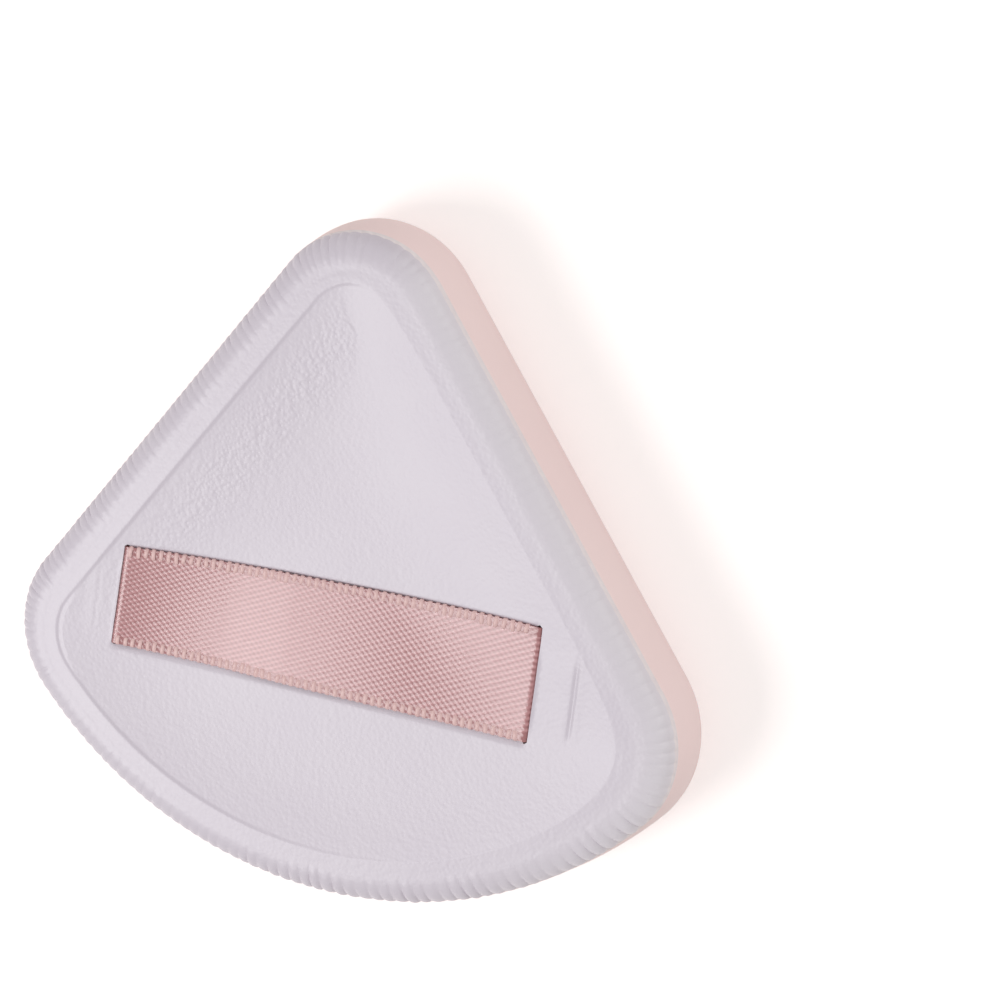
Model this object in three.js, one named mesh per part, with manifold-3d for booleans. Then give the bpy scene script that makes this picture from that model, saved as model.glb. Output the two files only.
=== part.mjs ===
// A powder puff: a sponge pad in a sewn two-piece cover, with a ribbon finger strap across its leather back.
// Millimetres, +Z up. The contact face lies on Z = 0 and the leather back is on top. X runs along the ribbon
// and Y points to the apex of the rounded triangle.

import * as THREE from "three";
import { mergeVertices } from "three/addons/utils/BufferGeometryUtils.js";
import Module from "manifold-3d";

// The sewn edge, seen from the back
const SEAM_WIDTH = 75; // across the two lower corners
const SEAM_LENGTH = 70.1; // from the apex to the middle of the curved base
const APEX_RADIUS = 10.3;
const CORNER_RADIUS = 11.1;
const BASE_RADIUS = 46.8;
const LEAST_RADIUS = 0.6; // the sharpest corner of an inner outline

// The pink front cover
const SEAM_HEIGHT = 10; // from the contact face to the seam
const BULGE_HEIGHT = 5.3; // from the contact face to the widest part of the wall
const WALL_BULGE = 0.6; // how far the wall stands out past the seam
const FACE_ROLL = 9.5; // width of the rounded border of the contact face
const FRONT_SKIN = 1; // thickness of the front cover

// The leather back cover
const BACK_SKIN = 0.8; // thickness of the leather
const SEAM_ALLOWANCE = 2.6; // width of the turned-in edges of both covers
const RIM_HOLLOW = 0.4; // air between the rim and its turned-in edge
const RIM_ROLL = 2.9; // width of the gathered, rolled part of the rim
const BAND_EDGE = 4.8; // from the seam to the top of the step
const STEP_RUN = 0.4; // width of the sloping step
const PANEL_DROP = 0.2; // from the band down to the edge of the panel
const PANEL_DISH = 1.1; // how far the middle of the panel sinks below its edge
const DISH_RUN = 8; // from the edge of the panel to its flat middle
const GATHER_PITCH = 1.64; // from one gather to the next, along the seam
const GATHER_DEPTH = 0.42; // from the crest of a gather to the valley beside it
const GATHER_END = 48; // degrees up the roll where the gathers begin to fade

// The ribbon and what holds it
const RIBBON_WIDTH = 12;
const RIBBON_THICKNESS = 0.4;
const RIBBON_TO_BASE = 27.75; // from the middle of the curved base to the middle of the ribbon
const RIBBON_RISE = 0.25; // how far the middle of the strap bows up from the panel
const RIBBON_BEND = 0.6; // bend radius at each slit, at the middle of the ribbon's thickness
const STRAP_GAP = 0.3; // between the panel and the ends of the strap
const SLIT_CLEARANCE = 0.3; // between the ribbon and each wall of its slit
const LEFT_TAIL = 2.9; // length of ribbon under the leather, from the middle of the slit
const RIGHT_TAIL = 3.9;
const LEFT_TAIL_SETBACK = 0.3; // from the overlock thread to the end of the tail
const RIGHT_TAIL_SETBACK = 1.4;
const TAPE_THICKNESS = 0.15;
const SHEET_THICKNESS = 0.3;
const THREAD_THICKNESS = 0.4;

// The gap left between layers that touch
const LAYER_GAP = 0.2;

// How finely each stretch of the outline and of the profiles is divided
const APEX_STEPS = 8;
const SIDE_STEPS = 2;
const CORNER_STEPS = 8;
const BASE_STEPS = 14;
const ROLL_STEPS = 5;
const WALL_STEPS = 3;
const DISH_STEPS = 2;
const BEND_STEPS = 4;
const STRAP_STEPS = 16;
const WIDTH_STEPS = 4;

// Levels, from the seam upwards and then from the panel down through the layers behind it
const frontEdgeTop = SEAM_HEIGHT - LAYER_GAP / 2;
const frontEdgeBottom = frontEdgeTop - FRONT_SKIN;
const backEdgeBottom = SEAM_HEIGHT + LAYER_GAP / 2;
const backEdgeTop = backEdgeBottom + BACK_SKIN;
const bandBottom = backEdgeTop + RIM_HOLLOW;
const bandTop = bandBottom + BACK_SKIN;
const panelTop = bandTop - PANEL_DROP;
const panelBottom = panelTop - BACK_SKIN;
const tailTop = panelBottom - PANEL_DISH - LAYER_GAP;
const tailBottom = tailTop - RIBBON_THICKNESS;
const tapeTop = tailBottom - LAYER_GAP;
const tapeBottom = tapeTop - TAPE_THICKNESS;
const sheetTop = tapeBottom - LAYER_GAP;
const sheetBottom = sheetTop - SHEET_THICKNESS;

// Insets, from the seam inwards
const threadOuter = SEAM_ALLOWANCE + LAYER_GAP;
const threadInner = threadOuter + THREAD_THICKNESS;
const sheetEdge = threadInner + LAYER_GAP;
const stepFoot = BAND_EDGE + STEP_RUN;

// The sewn edge is an arc at the apex, two straight sides, two corner arcs and the arc of the base, each tangent
// to the next.
const apexY = SEAM_LENGTH / 2 - APEX_RADIUS;
const baseY = BASE_RADIUS - SEAM_LENGTH / 2;
const cornerX = SEAM_WIDTH / 2 - CORNER_RADIUS;
const cornerY = baseY - Math.sqrt((BASE_RADIUS - CORNER_RADIUS) ** 2 - cornerX ** 2);
const apexToCorner = Math.hypot(cornerX, apexY - cornerY);
const sideAngle =
  Math.atan2(cornerX, apexY - cornerY) - Math.asin((APEX_RADIUS - CORNER_RADIUS) / apexToCorner);
const sideNormal = new THREE.Vector2(Math.cos(sideAngle), Math.sin(sideAngle));
const sideDistance = sideNormal.y * apexY + APEX_RADIUS;

function arcStretch(x, y, radius, from, to, steps) {
  const at = (t) => {
    const angle = from + (to - from) * t;
    const normal = new THREE.Vector2(Math.cos(angle), Math.sin(angle));
    return { x: x + radius * normal.x, y: y + radius * normal.y, normal };
  };
  const xAt = (height) => x + Math.sqrt(radius ** 2 - (height - y) ** 2);
  return { at, xAt, steps, length: radius * (to - from) };
}

function lineStretch(start, end, steps) {
  const at = (t) => ({
    x: start.x + (end.x - start.x) * t,
    y: start.y + (end.y - start.y) * t,
    normal: start.normal,
  });
  const xAt = (height) => start.x + ((end.x - start.x) * (height - start.y)) / (end.y - start.y);
  return { at, xAt, steps, length: Math.hypot(end.x - start.x, end.y - start.y) };
}

// The outline at an inset from the seam, as six stretches, anticlockwise from the right end of the apex arc.
function outlineAt(inset) {
  const apexRadius = Math.max(APEX_RADIUS - inset, LEAST_RADIUS);
  const cornerRadius = Math.max(CORNER_RADIUS - inset, LEAST_RADIUS);
  const apexCentre = (sideDistance - inset - apexRadius) / sideNormal.y;
  const reach = BASE_RADIUS - inset - cornerRadius;
  const alongNormal = sideDistance - inset - cornerRadius - sideNormal.y * baseY;
  const baseAngle = sideAngle - Math.acos(alongNormal / reach);
  const x = reach * Math.cos(baseAngle);
  const y = baseY + reach * Math.sin(baseAngle);
  const apex = arcStretch(0, apexCentre, apexRadius, sideAngle, Math.PI - sideAngle, APEX_STEPS);
  const left = arcStretch(-x, y, cornerRadius, Math.PI - sideAngle, Math.PI - baseAngle, CORNER_STEPS);
  const base = arcStretch(
    0, baseY, BASE_RADIUS - inset, Math.PI - baseAngle, 2 * Math.PI + baseAngle, BASE_STEPS,
  );
  const right = arcStretch(x, y, cornerRadius, baseAngle, sideAngle, CORNER_STEPS);
  const leftSide = lineStretch(apex.at(1), left.at(0), SIDE_STEPS);
  const rightSide = lineStretch(right.at(1), apex.at(0), SIDE_STEPS);
  return [apex, leftSide, left, base, right, rightSide];
}

const seam = outlineAt(0);
const perimeter = seam.reduce((sum, stretch) => sum + stretch.length, 0);
const gathers = Math.round(perimeter / GATHER_PITCH);

// Half the width of the outline at an inset, at a height on the Y axis below the apex arc.
function halfWidth(inset, y) {
  const [, , , base, right, rightSide] = outlineAt(inset);
  return [base, right, rightSide].find((stretch) => y <= stretch.at(1).y).xAt(y);
}

// A closed ring of points at an inset and a level. Each point knows how far round the outline it lies.
function ring(inset, z) {
  return outlineAt(inset).flatMap((stretch, index) =>
    Array.from({ length: stretch.steps }, (_, step) => {
      const t = step / stretch.steps;
      const { x, y } = stretch.at(t);
      return { x, y, z, place: index + t };
    }),
  );
}

// The level and inset of the rolled rim at an angle up from the seam.
const rollInset = (angle) => RIM_ROLL * (1 - Math.cos(angle));
const rollLevel = (angle) => backEdgeBottom + (bandTop - backEdgeBottom) * Math.sin(angle);

// A ring of the rolled rim at an angle, of points spaced evenly along the seam. They are pushed out and in by
// turns, along the roll's own normal, by half of a depth.
function rimRing(degrees, count, depth) {
  const angle = THREE.MathUtils.degToRad(degrees);
  const lean = Math.atan2(Math.sin(angle) * RIM_ROLL, Math.cos(angle) * (bandTop - backEdgeBottom));
  const points = [];
  let passed = 0;
  seam.forEach((stretch, index) => {
    const reached = passed + stretch.length;
    while (points.length < count && perimeter * (points.length / count) < reached) {
      const t = (perimeter * (points.length / count) - passed) / stretch.length;
      const { x, y, normal } = stretch.at(t);
      const push = points.length % 2 ? -depth / 2 : depth / 2;
      const out = push * Math.cos(lean) - rollInset(angle);
      points.push({
        x: x + normal.x * out,
        y: y + normal.y * out,
        z: rollLevel(angle) + push * Math.sin(lean),
        place: index + t,
      });
    }
    passed = reached;
  });
  return points;
}

// The profile of the front cover at a depth below its surface, from the flat face up to a level, as [inset, z].
function bagProfile(depth, top) {
  const points = [];
  const width = FACE_ROLL + WALL_BULGE;
  for (let step = 0; step <= ROLL_STEPS; step++) {
    const angle = ((Math.PI / 2) * step) / ROLL_STEPS;
    const normal = new THREE.Vector2(
      BULGE_HEIGHT * Math.sin(angle), -width * Math.cos(angle),
    ).normalize();
    const inset = FACE_ROLL - width * Math.sin(angle) + depth * normal.x;
    points.push([inset, BULGE_HEIGHT * (1 - Math.cos(angle)) - depth * normal.y]);
  }
  for (let step = 1; step <= WALL_STEPS; step++) {
    const z = BULGE_HEIGHT + ((top - BULGE_HEIGHT) * step) / WALL_STEPS;
    const share = (z - BULGE_HEIGHT) / (frontEdgeTop - BULGE_HEIGHT);
    points.push([depth - WALL_BULGE * Math.cos((share * Math.PI) / 2), z]);
  }
  return points;
}

const ringsOf = (profile) => profile.map(([inset, z]) => ring(inset, z));

// Joins rings of points, which may differ in count, into one skin. It is closed by a flat fan at each end, or
// back to the first ring.
function skin(rings, joinEnds = false) {
  const positions = [];
  const triangles = [];
  const starts = rings.map((points) => {
    const start = positions.length / 3;
    points.forEach((point) => positions.push(point.x, point.y, point.z));
    return start;
  });
  const bridge = (a, b) => {
    const near = rings[a];
    const far = rings[b];
    const placeOf = (points, i) =>
      points[i % points.length].place + seam.length * Math.floor(i / points.length);
    let i = 0;
    let j = 0;
    while (i < near.length || j < far.length) {
      const nearPoint = starts[a] + (i % near.length);
      const farPoint = starts[b] + (j % far.length);
      if (j === far.length || (i < near.length && placeOf(near, i + 1) < placeOf(far, j + 1))) {
        i += 1;
        triangles.push(nearPoint, starts[a] + (i % near.length), farPoint);
      } else {
        j += 1;
        triangles.push(nearPoint, starts[b] + (j % far.length), farPoint);
      }
    }
  };
  const fan = (index, facingUp) => {
    const points = rings[index];
    const hub = positions.length / 3;
    const middle = points.reduce((sum, point) => sum + point.y, 0) / points.length;
    positions.push(0, middle, points[0].z);
    points.forEach((_, i) => {
      const here = starts[index] + i;
      const next = starts[index] + ((i + 1) % points.length);
      triangles.push(hub, ...(facingUp ? [here, next] : [next, here]));
    });
  };
  for (let i = 0; i + 1 < rings.length; i++) bridge(i, i + 1);
  if (joinEnds) {
    bridge(rings.length - 1, 0);
  } else {
    fan(0, false);
    fan(rings.length - 1, true);
  }
  const geometry = new THREE.BufferGeometry();
  geometry.setAttribute("position", new THREE.Float32BufferAttribute(positions, 3));
  geometry.setIndex(triangles);
  geometry.computeVertexNormals();
  return geometry;
}

const wasm = await Module();
wasm.setup();

function toSolid(geometry) {
  const bare = new THREE.BufferGeometry();
  bare.setAttribute("position", geometry.getAttribute("position"));
  bare.setIndex(geometry.getIndex());
  const merged = mergeVertices(bare, 1e-4);
  const vertProperties = new Float32Array(merged.getAttribute("position").array);
  const triVerts = new Uint32Array(merged.getIndex().array);
  return new wasm.Manifold(new wasm.Mesh({ numProp: 3, vertProperties, triVerts }));
}

// A body with the cutters taken out of it.
function cut(body, cutters) {
  const left = cutters.reduce((solid, cutter) => solid.subtract(toSolid(cutter)), toSolid(body));
  const mesh = left.getMesh();
  const geometry = new THREE.BufferGeometry();
  geometry.setAttribute("position", new THREE.BufferAttribute(mesh.vertProperties, 3));
  geometry.setIndex(new THREE.BufferAttribute(mesh.triVerts, 1));
  geometry.computeVertexNormals();
  return geometry;
}

// Places along the ribbon. Its tails end where the corner that is nearest to the overlock thread is still clear of it.
const ribbonY = RIBBON_TO_BASE - SEAM_LENGTH / 2;
const ribbonTopY = ribbonY + RIBBON_WIDTH / 2;
const ribbonBottomY = ribbonY - RIBBON_WIDTH / 2;
const tailReach = Math.min(halfWidth(threadInner, ribbonTopY), halfWidth(threadInner, ribbonBottomY));
const leftTailEnd = LEFT_TAIL_SETBACK - tailReach;
const rightTailEnd = tailReach - RIGHT_TAIL_SETBACK;
const leftSlit = leftTailEnd + LEFT_TAIL;
const rightSlit = rightTailEnd - RIGHT_TAIL;

// The flat middle of the contact face, its rounded border, the wall and the turned-in edge are one piece.
function frontCover() {
  const outside = bagProfile(0, frontEdgeTop);
  const inside = bagProfile(FRONT_SKIN, frontEdgeBottom).reverse();
  const edge = [[SEAM_ALLOWANCE, frontEdgeTop], [SEAM_ALLOWANCE, frontEdgeBottom]];
  return skin(ringsOf([...outside, ...edge, ...inside]));
}

// The sponge fills the front cover up to the turned-in edge or the backing sheet, whichever lies lower.
function foamCore() {
  const depth = FRONT_SKIN + LAYER_GAP;
  const top = Math.min(frontEdgeBottom, sheetBottom) - LAYER_GAP;
  return skin(ringsOf(bagProfile(depth, top)));
}

// How far the panel has sunk below its edge at an inset: steeply at first, easing into the flat middle.
function dishAt(inset) {
  const share = THREE.MathUtils.clamp((inset - stepFoot) / DISH_RUN, 0, 1);
  return PANEL_DISH * (1 - (1 - share) ** 2);
}

// The top of the panel at a place between the two straight sides and the base.
function panelLevel(x, y) {
  const fromSide = sideDistance - sideNormal.x * Math.abs(x) - sideNormal.y * y;
  const fromBase = BASE_RADIUS - Math.hypot(x, y - baseY);
  return panelTop - dishAt(Math.min(fromSide, fromBase));
}

// Leather of one thickness: the dished panel, the step, the band, the gathered roll and the turned-in edge.
function backCover() {
  const panel = (edge) =>
    Array.from({ length: DISH_STEPS + 1 }, (_, step) => {
      const inset = stepFoot + (DISH_RUN * step) / DISH_STEPS;
      return [inset, edge - dishAt(inset)];
    });
  const below = [
    ...panel(panelBottom).reverse(),
    [BAND_EDGE, bandBottom],
    [BACK_SKIN, backEdgeTop],
    [SEAM_ALLOWANCE, backEdgeTop],
    [SEAM_ALLOWANCE, backEdgeBottom],
  ];
  const above = [[BAND_EDGE, bandTop], ...panel(panelTop)];
  const rim = [
    rimRing(0, 2 * gathers, GATHER_DEPTH),
    rimRing(GATHER_END, 2 * gathers, GATHER_DEPTH),
    rimRing(90, gathers, 0),
  ];
  const leather = skin([...ringsOf(below), ...rim, ...ringsOf(above)]);
  return cut(leather, [slitCutter(leftSlit), slitCutter(rightSlit)]);
}

function slitCutter(x) {
  const width = RIBBON_THICKNESS + 2 * SLIT_CLEARANCE;
  const length = RIBBON_WIDTH + 2 * SLIT_CLEARANCE;
  const height = 2 * (BACK_SKIN + PANEL_DISH);
  const box = new THREE.BoxGeometry(width, length, height);
  return box.translate(x, ribbonY, (panelTop + panelBottom) / 2);
}

// The middle line of the ribbon at a place across its width, seen from the base edge: up through one slit, over the
// dished panel and down the other.
function ribbonLine(y) {
  const tailLevel = (tailTop + tailBottom) / 2;
  const strapLevel = (x) => panelLevel(x, y) + STRAP_GAP + RIBBON_THICKNESS / 2;
  const bend = (x, level, side, from, to) =>
    Array.from({ length: BEND_STEPS + 1 }, (_, step) => {
      const angle = from + ((to - from) * step) / BEND_STEPS;
      return new THREE.Vector2(
        x + side * RIBBON_BEND * Math.cos(angle), level + RIBBON_BEND * Math.sin(angle),
      );
    });
  const quarter = Math.PI / 2;
  const half = (slit, tailEnd, side) => {
    const lip = slit + side * RIBBON_BEND;
    return [
      new THREE.Vector2(tailEnd, tailLevel),
      ...bend(slit - side * RIBBON_BEND, tailLevel + RIBBON_BEND, side, -quarter, 0),
      ...bend(lip, strapLevel(lip) - RIBBON_BEND, side, Math.PI, quarter),
    ];
  };
  const left = half(leftSlit, leftTailEnd, 1);
  const right = half(rightSlit, rightTailEnd, -1).reverse();
  const start = left[left.length - 1].x;
  const end = right[0].x;
  const strap = Array.from({ length: STRAP_STEPS - 1 }, (_, step) => {
    const t = (step + 1) / STRAP_STEPS;
    const x = start + (end - start) * t;
    return new THREE.Vector2(x, strapLevel(x) + RIBBON_RISE * 4 * t * (1 - t));
  });
  return [...left, ...strap, ...right];
}

// A loop round the ribbon's thickness at a place across its width: along its underside and back along its top.
function ribbonLoop(y) {
  const line = ribbonLine(y);
  const side = (offset) =>
    line.map((point, i) => {
      const before = line[Math.max(i - 1, 0)];
      const after = line[Math.min(i + 1, line.length - 1)];
      const along = after.clone().sub(before).normalize();
      return [point.x - along.y * offset, y, point.y + along.x * offset];
    });
  return [...side(-RIBBON_THICKNESS / 2), ...side(RIBBON_THICKNESS / 2).reverse()];
}

// The loops from one woven edge to the other, joined into a strip that is closed along both edges.
function ribbon() {
  const loops = Array.from({ length: WIDTH_STEPS + 1 }, (_, step) =>
    ribbonLoop(ribbonTopY - (RIBBON_WIDTH * step) / WIDTH_STEPS),
  );
  const count = loops[0].length;
  const triangles = [];
  const quad = (a, b, c, d) => triangles.push(a, b, c, a, c, d);
  for (let near = 0; near < WIDTH_STEPS * count; near += count) {
    for (let i = 0; i < count; i++) {
      const next = (i + 1) % count;
      quad(near + i, near + next, near + count + next, near + count + i);
    }
  }
  const last = WIDTH_STEPS * count;
  for (let i = 0; i + 1 < count / 2; i++) {
    const opposite = count - 1 - i;
    quad(i, opposite, opposite - 1, i + 1);
    quad(last + i, last + i + 1, last + opposite - 1, last + opposite);
  }
  const geometry = new THREE.BufferGeometry();
  geometry.setAttribute("position", new THREE.Float32BufferAttribute(loops.flat(2), 3));
  geometry.setIndex(triangles);
  geometry.computeVertexNormals();
  return geometry;
}

// Tape under the flat part of a ribbon tail.
function tailTape(tailEnd, slit) {
  const length = Math.abs(slit - tailEnd) - RIBBON_BEND;
  const box = new THREE.BoxGeometry(length, RIBBON_WIDTH, TAPE_THICKNESS);
  return box.translate(tailEnd + (Math.sign(slit - tailEnd) * length) / 2, ribbonY, (tapeTop + tapeBottom) / 2);
}

function backingSheet() {
  return skin(ringsOf([[sheetEdge, sheetBottom], [sheetEdge, sheetTop]]));
}

// The overlock stitches cover the raw edges of both covers, one lying on the other.
function overlockThread() {
  const section = [
    [threadOuter, frontEdgeBottom],
    [threadOuter, backEdgeTop],
    [threadInner, backEdgeTop],
    [threadInner, frontEdgeBottom],
  ];
  return skin(ringsOf(section), true);
}

const finish = (color, roughness) => new THREE.MeshStandardMaterial({ color, roughness, metalness: 0 });
const softPinkSkin = finish("#E8CECD", 0.9);
const lavenderLeather = finish("#D9D2DA", 0.5);
const creamSponge = finish("#F3E6DA", 0.95);
const pinkSatin = finish("#DCBBBB", 0.35);
const whiteNonwoven = finish("#F1EFEC", 0.9);
const clearTape = finish("#F2EDE2", 0.4);
const lavenderThread = finish("#DBD3DB", 0.8);

const puff = new THREE.Group();
const pieces = [
  ["front_cover", frontCover(), softPinkSkin],
  ["foam_core", foamCore(), creamSponge],
  ["back_cover", backCover(), lavenderLeather],
  ["backing_sheet", backingSheet(), whiteNonwoven],
  ["overlock_thread", overlockThread(), lavenderThread],
  ["ribbon", ribbon(), pinkSatin],
  ["tail_tape_left", tailTape(leftTailEnd, leftSlit), clearTape],
  ["tail_tape_right", tailTape(rightTailEnd, rightSlit), clearTape],
];
for (const [name, geometry, material] of pieces) {
  const mesh = new THREE.Mesh(geometry, material);
  mesh.name = name;
  puff.add(mesh);
}

export default puff;
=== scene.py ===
# A powder puff, dressed for rendering: a gathered leather back with a satin ribbon strap, a soft pink
# front cover, and the sponge, backing sheet and thread that are sewn up inside. Sizes are in millimetres
# until a mesh is made. X runs along the ribbon, Y points to the apex, and Z rises from the contact face to
# the leather back.

from collections import namedtuple
import math
import random

import bpy
import numpy as np
from mathutils import Matrix, Vector
from mathutils.geometry import delaunay_2d_cdt
from mathutils.kdtree import KDTree


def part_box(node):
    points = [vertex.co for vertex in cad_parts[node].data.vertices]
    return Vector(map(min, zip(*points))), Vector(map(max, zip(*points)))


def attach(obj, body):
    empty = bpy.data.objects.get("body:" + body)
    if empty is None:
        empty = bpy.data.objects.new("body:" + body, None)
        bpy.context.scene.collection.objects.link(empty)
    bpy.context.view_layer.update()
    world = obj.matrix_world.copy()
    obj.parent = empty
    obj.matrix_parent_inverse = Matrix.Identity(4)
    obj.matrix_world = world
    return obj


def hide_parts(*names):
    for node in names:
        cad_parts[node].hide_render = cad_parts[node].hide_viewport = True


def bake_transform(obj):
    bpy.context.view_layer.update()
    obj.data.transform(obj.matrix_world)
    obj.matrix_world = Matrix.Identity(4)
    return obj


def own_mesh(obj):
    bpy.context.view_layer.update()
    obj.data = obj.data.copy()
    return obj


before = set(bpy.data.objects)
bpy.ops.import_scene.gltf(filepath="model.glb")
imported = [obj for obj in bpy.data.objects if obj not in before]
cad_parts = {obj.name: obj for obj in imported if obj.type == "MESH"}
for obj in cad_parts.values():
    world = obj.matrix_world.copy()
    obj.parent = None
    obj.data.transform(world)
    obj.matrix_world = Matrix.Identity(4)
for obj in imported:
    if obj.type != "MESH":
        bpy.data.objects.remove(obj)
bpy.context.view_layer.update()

MM = 0.001  # one millimetre in the scene's metres

# The sewn edge, seen from the back
SEAM_WIDTH = 75
SEAM_LENGTH = 70.1
APEX_RADIUS = 10.3
CORNER_RADIUS = 11.1
BASE_RADIUS = 46.8
ARC_POINTS = 400  # how finely each arc of the edge is traced
SEAM_SAMPLES = 5000  # points of the edge that distances are measured from

# Ways out from the middle to parts of the rim
RIGHT_SIDE = (0.804, 0.595)
LEFT_SIDE = (-0.804, 0.595)
LOWER_RIGHT = (0.6, -0.8)
RIGHT_OF_BASE = (0.45, -0.89)

# The leather back, by its insets from the seam
LEATHER = 0.6  # thickness
ALLOWANCE = 2.6  # width of the turned-in edge
RIM_ROLL = 2.9  # width of the rolled rim
INNER_ROLL = (1.3, 1.0)  # a point of the roll's hidden side, as (inset, level) from the seam
FOLD_PROFILE = ((-0.06, 0), (-0.06, -0.1), (-0.03, -0.16), (-0.02, -0.06))  # the fold that hangs at the seam
HIGHLIGHT_RINGS = 3  # rings at the foot of the roll where the fold's painted highlight starts
FOLD_STRIPS = 5  # strips of the mesh painted paler as a painted highlight, from there to the fold's lower edge
BAND_EDGE = 4.85  # where the flat band ends and the panel begins
STEP_RUN = 0.4
PANEL_DROP = 0.1  # height of the small step at the band's edge
STEP_FADES = ((RIGHT_SIDE, 0.3, 1), (LOWER_RIGHT, 0.35, 1))  # where it softens: way out, start, share lost
SOFT_STEP = 6  # width of the step where it has softened
PANEL_DISH = 1.4  # how far the panel sinks below the step
DISH_RUN = 17
BOWL_BLEND = 3  # how widely the slopes of the sunken panel run into each other
RIM_GROOVE = 0.025  # depth of the shallow line along the inner ends of the gathers
GROOVE_INSET = 3.6
GROOVE_HALF = 0.32
PANEL_START = 5.7  # where the rings of the rim give way to the panel's own mesh
PANEL_GRID = 0.42  # spacing of the points of the panel
LINING_GRID = 2.0  # spacing of the points of the panel's hidden side
RIM_ROOM = 0.24  # how far those points stay from the rings of the rim, and at most from a slit
SLIT_ROOM = 0.25
RIM_INSETS = (  # rings of the mesh on the step, the band and the groove
    PANEL_START, 5.55, 5.35, 5.25, 5.15, 5.05, 4.95, 4.85, 4.7, 4.5,
    4.2, 4.0, 3.85, 3.7, 3.6, 3.5, 3.35, 3.2, 3.05,
)
ROLL_DEGREES = (90, 83, 76, 69, 61, 53, 45, 37, 29, 21, 14, 8, 3)  # rings of the mesh down the roll
ROLL_STEPS = 40  # steps that the length of the roll is measured in

# The gathers of the rim
GATHER_PITCH = 1.28  # along the rim
LEFT_FINER = 0.28  # how much closer the gathers are on the left side
CORNER_WIDER = 0.15  # how much wider they are round the lower right corner
GATHER_POINTS = 9  # points round the rim in one gather
GATHER_DEPTH = 0.13  # from crest to valley
CORNER_DEEPER = 0.9  # the share by which they are deeper round the lower right corner
GATHER_REACH = 4.2  # how far a gather runs in, along the leather
GATHER_SEED = 7
GATHER_FADES = ((RIGHT_SIDE, 0.9, 0.4),)  # the right side, where the leather was pulled smooth
FINER_ZONE = (LEFT_SIDE, 0.6, 0.35)  # way out, start and run of where they are closer, wider and deeper
WIDER_ZONE = (LOWER_RIGHT, 0.7, 0.25)
DEEPER_ZONE = (RIGHT_OF_BASE, 0.7, 0.25)
GATHER_SHIFT = 0.12  # how far a gather strays along the rim, as a share of the pitch
DEPTH_SPREAD = (0.6, 1.2)  # shares by which the gathers differ in depth and in reach
REACH_SPREAD = (0.78, 1.1)
CREST_POWER = 0.8  # rounds the crest of a gather and narrows the creases beside it
SEAM_SHARE = 0.35  # share of a gather's depth that it has at the seam
GATHER_START = 0.5  # length of leather in which it deepens from there
GATHER_FULL = 0.5  # share of its reach where it starts to fade

# Where the coat of the leather is crinkled, and where the rim is painted paler as painted light
CRINKLE_WIDTH = 4.5  # half the width of the crinkled leather along the upper left slope of the panel
CRINKLE_ZONE = (LEFT_SIDE, 0.8, 0.15)
CRINKLE_FOOT = -14  # where the crinkles start up the puff, and the run in which they strengthen
CRINKLE_RISE = 26
RIM_LIGHT_START = 0.1  # how far a way out must point right for the rim there to be painted paler, as painted light on its shaded roll

# The ribbon strap
RIBBON_THICK = 0.26
RIBBON_WIDTH = 12
RIBBON_BEND = 0.28
RIBBON_LIE = 0.07  # gap between the leather and the strap where it lies down
STRAP_DIP = 0.24  # how far the taut strap sinks into the panel
DIP_FADES = (0.9, 0.4)  # widths of the slopes down to it, along the strap's lower and upper edges
DIP_TUCK = 0.05  # how far the slopes start under the strap
LEFT_RISE = 0.24  # how far the lip of the left slit lifts the strap
RISE_END = 0.25  # the share of the strap's length where it lies down again
STRAP_HUMP = 0.26  # how far the strap stands off after that
HUMP_TOP = 0.42  # the share of its length where it stands highest
UPPER_LIE = 0.7  # how much more closely the strap's upper edge lies down
LEFT_HALF = 5.45  # half the width of the strap at its left and right ends
RIGHT_HALF = 6.2
SWELL = 0.15  # how much wider each half is in the middle
RIBBON_ROWS = 41
STRAP_STEPS = 150
BEND_POINTS = 7  # points round each bend at a slit
TAIL_POINTS = 8  # points along each tail

# The slits, and the marks of the ribbon's tails in the leather over them
LEFT_TAIL = 2.9  # how far each tail reaches beyond the place of its slit
RIGHT_TAIL = 3.9
SLIT_HALF = 0.34  # half the opening of a slit
SLIT_TAPER = 0.98  # how nearly a slit closes at its ends
SLIT_POWER = 80  # how square its ends are
FOLD_ROOM = 0.03  # gap between the ribbon and the outer side of a slit
SLIT_SPARE = 0.25  # how much longer a slit is than the ribbon is wide, at each end
LEFT_SHIFT = -0.25  # how far each slit was cut from its place, and how far it leans for each millimetre up
LEFT_LEAN = 0.12
RIGHT_SHIFT = -0.8
RIGHT_LEAN = 0.07
SLIT_POINTS = 60  # points along each side of a slit
SLIT_LIP = 0.09  # how far the outer lip of a slit stands up
LIP_HALF = 0.3  # width of its slope
TAIL_FADE = 3  # width of the slopes at the sides of a tail's mark
TAIL_SLOPE = 1.5  # width of the slope at its end
TAIL_REACH = 5.4  # half the length of the mark across the ribbon
TAIL_MIDDLE = -0.6  # how far the mark's middle lies from the ribbon's
CREASE_HALF = 0.22  # half the width of the crease at the end of a tail
LEFT_LIFT = 0.05  # how far a tail lifts the leather over it
RIGHT_LIFT = 0.06
LEFT_CREASE = 0.02  # depth of the crease at the end of a tail
RIGHT_CREASE = 0.14
LIP_ROWS = (0.5, 1)  # rows of the mesh on a lip and on a crease, by their widths
CREASE_ROWS = (-1.8, -1.2, -0.6, 0, 0.6, 1.2, 1.8)
SLOPE_ROWS = 6  # rows of the mesh on each slope beside the strap
SLOPE_ROOM = 0.1  # how far these stay from a slit

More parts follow.
